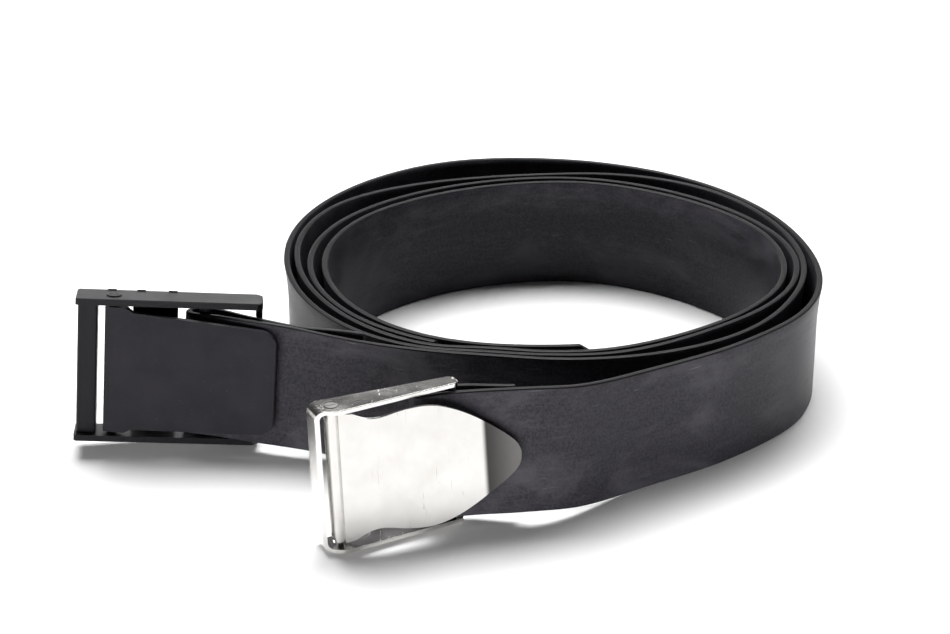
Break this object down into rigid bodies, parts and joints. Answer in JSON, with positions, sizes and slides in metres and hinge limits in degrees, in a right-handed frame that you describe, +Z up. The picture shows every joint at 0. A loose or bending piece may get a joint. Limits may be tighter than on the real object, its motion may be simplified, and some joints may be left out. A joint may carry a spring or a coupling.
{
  "type": "dive weight belt",
  "caption": "Rubber dive weight belts rolled one inside the other and standing on edge, one with a pressed steel cam buckle, the other with a moulded plastic one.",
  "frame": {"origin": "middle of the footprint, on the surface the belts stand on", "axes": "+Z up across the straps, -Y towards the two buckles, +X to the right when facing them"},
  "size_m": [0.3058, 0.2992, 0.0655],
  "materials": {
    "steel_strap": "matt black, fine lengthwise scuffs",
    "steel_frame": "tumbled and half polished stainless steel",
    "steel_cross_bar": "satin stainless steel",
    "steel_end_bar": "satin stainless steel",
    "steel_hinge_pin": "peened stainless steel",
    "steel_lever": "satin front with polished edges",
    "plastic_strap": "matt black, fine lengthwise scuffs",
    "plastic_frame": "black, fine moulded grain",
    "plastic_cross_bar": "black",
    "plastic_hinge_pin": "black",
    "plastic_lever": "black, fine moulded grain"
  },
  "bodies": {
    "steel_belt": {"steel_strap": "steel_strap", "steel_frame": "steel_frame", "steel_cross_bar": "steel_cross_bar", "steel_end_bar": "steel_end_bar", "steel_hinge_pin": "steel_hinge_pin"},
    "steel_lever": {"steel_lever": "steel_lever"},
    "plastic_belt": {"plastic_strap": "plastic_strap", "plastic_frame": "plastic_frame", "plastic_cross_bar": "plastic_cross_bar", "plastic_hinge_pin": "plastic_hinge_pin"},
    "plastic_lever": {"plastic_lever": "plastic_lever"}
  },
  "joints": [
    {"name": "plastic_belt_lift", "type": "slide", "parent": "steel_belt", "child": "plastic_belt", "axis": [0, 0, 1], "range_m": [0, 0.08]},
    {"name": "steel_lever_hinge", "type": "hinge", "parent": "steel_belt", "child": "steel_lever", "pos_m": [-0.04234, -0.14238, 0.02874], "axis": [0.0393, -0.063, -0.9972], "range_deg": [0, 105]},
    {"name": "plastic_lever_hinge", "type": "hinge", "parent": "plastic_belt", "child": "plastic_lever", "pos_m": [-0.13571, -0.05746, 0.03445], "axis": [-0.0636, -0.1289, -0.9896], "range_deg": [0, 88]}
  ]
}
